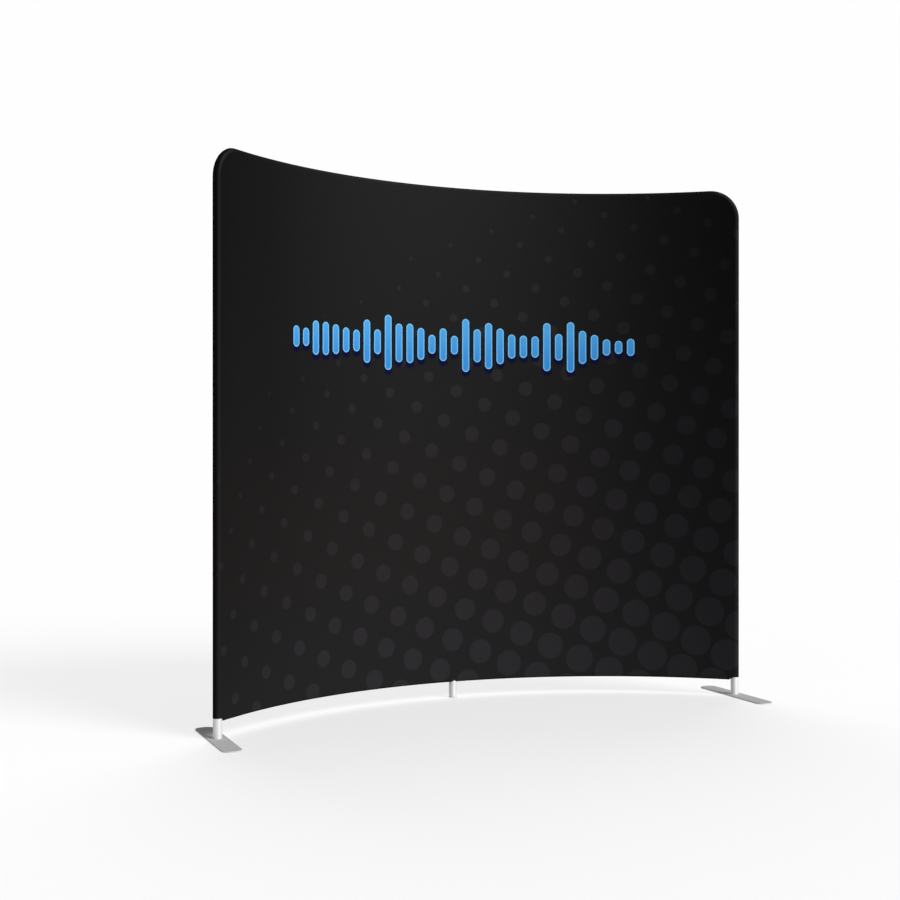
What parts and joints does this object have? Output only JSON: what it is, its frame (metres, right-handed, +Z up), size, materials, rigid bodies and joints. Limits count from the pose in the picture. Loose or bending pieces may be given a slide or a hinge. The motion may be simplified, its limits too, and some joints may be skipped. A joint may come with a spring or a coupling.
{
  "type": "curved banner wall",
  "caption": "Free-standing curved display wall: stretch fabric cover over a bolt-free tube frame with snap-button joints, on flat swivelling foot plates.",
  "frame": {"origin": "on the floor, under the middle of the whole object's box", "axes": "+Z up; the hollow printed side faces -Y; +X along the wall's width"},
  "size_m": [2.468, 0.731, 2.2955],
  "materials": {
    "frame_tube": "satin anodised round tube",
    "plug_aluminium": "plain machined",
    "foot_plate": "silver powder coat on steel",
    "foot_spigot": "turned and zinc plated",
    "screw_steel": "zinc plated",
    "glide": "moulded grey",
    "printed_fabric": "stretch knit with a printed dot pattern",
    "plain_fabric": "plain stretch knit",
    "zip_tape": "woven tape",
    "zip_teeth": "moulded teeth",
    "zip_metal": "dark plated",
    "snap_button": "bright plated",
    "spring_steel": "spring temper",
    "rivet": "plain"
  },
  "bodies": {
    "frame": {"left_lower_post": "frame_tube", "left_upper_post": "frame_tube", "left_top_rail": "frame_tube", "left_bottom_rail": "frame_tube", "left_post_spigot": "plug_aluminium", "left_corner_spigot": "plug_aluminium", "left_post_stub": "plug_aluminium", "left_centre_stub": "plug_aluminium", "left_zip_tapes": "zip_tape", "left_zip_chain": "zip_teeth", "left_zip_stops": "zip_metal", "right_lower_post": "frame_tube", "right_upper_post": "frame_tube", "right_top_rail": "frame_tube", "right_bottom_rail": "frame_tube", "right_post_spigot": "plug_aluminium", "right_corner_spigot": "plug_aluminium", "right_post_stub": "plug_aluminium", "right_centre_stub": "plug_aluminium", "right_zip_tapes": "zip_tape", "right_zip_chain": "zip_teeth", "right_zip_stops": "zip_metal", "centre_lower_post": "frame_tube", "centre_upper_post": "frame_tube", "centre_post_spigot": "plug_aluminium", "centre_glide": "glide", "top_tee": "plug_aluminium", "front_panel": "printed_fabric", "back_panel": "plain_fabric", "snap_springs": "spring_steel", "spigot_rivets": "rivet"},
    "left_foot": {"left_foot_plate": "foot_plate", "left_foot_spigot": "foot_spigot", "left_foot_screw": "screw_steel"},
    "left_zip_slider": {"left_zip_slider": "zip_metal"},
    "left_zip_pull": {"left_zip_pull": "zip_metal"},
    "right_foot": {"right_foot_plate": "foot_plate", "right_foot_spigot": "foot_spigot", "right_foot_screw": "screw_steel"},
    "right_zip_slider": {"right_zip_slider": "zip_metal"},
    "right_zip_pull": {"right_zip_pull": "zip_metal"},
    "left_post_button": {"left_post_button": "snap_button"},
    "left_corner_button": {"left_corner_button": "snap_button"},
    "left_top_rail_button": {"left_top_rail_button": "snap_button"},
    "left_bottom_rail_button": {"left_bottom_rail_button": "snap_button"},
    "left_centre_rail_button": {"left_centre_rail_button": "snap_button"},
    "right_post_button": {"right_post_button": "snap_button"},
    "right_corner_button": {"right_corner_button": "snap_button"},
    "right_top_rail_button": {"right_top_rail_button": "snap_button"},
    "right_bottom_rail_button": {"right_bottom_rail_button": "snap_button"},
    "right_centre_rail_button": {"right_centre_rail_button": "snap_button"},
    "centre_post_button": {"centre_post_button": "snap_button"},
    "centre_top_button": {"centre_top_button": "snap_button"}
  },
  "joints": [
    {"name": "left_post_button_press", "type": "slide", "parent": "frame", "child": "left_post_button", "axis": [-0.7736, -0.6337, 0], "range_m": [0, 0.0048], "stiffness_N_per_m": 800, "deforming": ["snap_springs"]},
    {"name": "left_corner_button_press", "type": "slide", "parent": "frame", "child": "left_corner_button", "axis": [0, 0, 1], "range_m": [0, 0.0048], "stiffness_N_per_m": 800, "deforming": ["snap_springs"]},
    {"name": "left_top_rail_button_press", "type": "slide", "parent": "frame", "child": "left_top_rail_button", "axis": [0, 0, 1], "range_m": [0, 0.0048], "stiffness_N_per_m": 800, "deforming": ["snap_springs"]},
    {"name": "left_bottom_rail_button_press", "type": "slide", "parent": "frame", "child": "left_bottom_rail_button", "axis": [0, 0, -1], "range_m": [0, 0.0048], "stiffness_N_per_m": 800, "deforming": ["snap_springs"]},
    {"name": "left_centre_rail_button_press", "type": "slide", "parent": "frame", "child": "left_centre_rail_button", "axis": [0, 0, -1], "range_m": [0, 0.0048], "stiffness_N_per_m": 800, "deforming": ["snap_springs"]},
    {"name": "right_post_button_press", "type": "slide", "parent": "frame", "child": "right_post_button", "axis": [0.7736, -0.6337, 0], "range_m": [0, 0.0048], "stiffness_N_per_m": 800, "deforming": ["snap_springs"]},
    {"name": "right_corner_button_press", "type": "slide", "parent": "frame", "child": "right_corner_button", "axis": [0, 0, 1], "range_m": [0, 0.0048], "stiffness_N_per_m": 800, "deforming": ["snap_springs"]},
    {"name": "right_top_rail_button_press", "type": "slide", "parent": "frame", "child": "right_top_rail_button", "axis": [0, 0, 1], "range_m": [0, 0.0048], "stiffness_N_per_m": 800, "deforming": ["snap_springs"]},
    {"name": "right_bottom_rail_button_press", "type": "slide", "parent": "frame", "child": "right_bottom_rail_button", "axis": [0, 0, -1], "range_m": [0, 0.0048], "stiffness_N_per_m": 800, "deforming": ["snap_springs"]},
    {"name": "right_centre_rail_button_press", "type": "slide", "parent": "frame", "child": "right_centre_rail_button", "axis": [0, 0, -1], "range_m": [0, 0.0048], "stiffness_N_per_m": 800, "deforming": ["snap_springs"]},
    {"name": "centre_post_button_press", "type": "slide", "parent": "frame", "child": "centre_post_button", "axis": [-1, 0, 0], "range_m": [0, 0.0048], "stiffness_N_per_m": 800, "deforming": ["snap_springs"]},
    {"name": "centre_top_button_press", "type": "slide", "parent": "frame", "child": "centre_top_button", "axis": [-1, 0, 0], "range_m": [0, 0.0048], "stiffness_N_per_m": 800, "deforming": ["snap_springs"]},
    {"name": "left_foot_swivel", "type": "hinge", "parent": "frame", "child": "left_foot", "pos_m": [-1.194, -0.1199, 0], "axis": [0, 0, 1], "continuous": true},
    {"name": "left_zip_run", "type": "hinge", "parent": "frame", "child": "left_zip_slider", "pos_m": [0, -1.39911, 0.1355], "axis": [0, 0, -1], "range_deg": [0, 36.14], "deforming": ["left_zip_chain"]},
    {"name": "left_zip_pull_swing", "type": "hinge", "parent": "left_zip_slider", "child": "left_zip_pull", "pos_m": [-1.08835, -0.00572, 0.1355], "axis": [0, 0, -1], "range_deg": [0, 175]},
    {"name": "right_foot_swivel", "type": "hinge", "parent": "frame", "child": "right_foot", "pos_m": [1.194, -0.1199, 0], "axis": [0, 0, 1], "continuous": true},
    {"name": "right_zip_run", "type": "hinge", "parent": "frame", "child": "right_zip_slider", "pos_m": [0, -1.39911, 0.1355], "axis": [0, 0, 1], "range_deg": [0, 36.14], "deforming": ["right_zip_chain"]},
    {"name": "right_zip_pull_swing", "type": "hinge", "parent": "right_zip_slider", "child": "right_zip_pull", "pos_m": [1.08835, -0.00572, 0.1355], "axis": [0, 0, 1], "range_deg": [0, 175]}
  ]
}
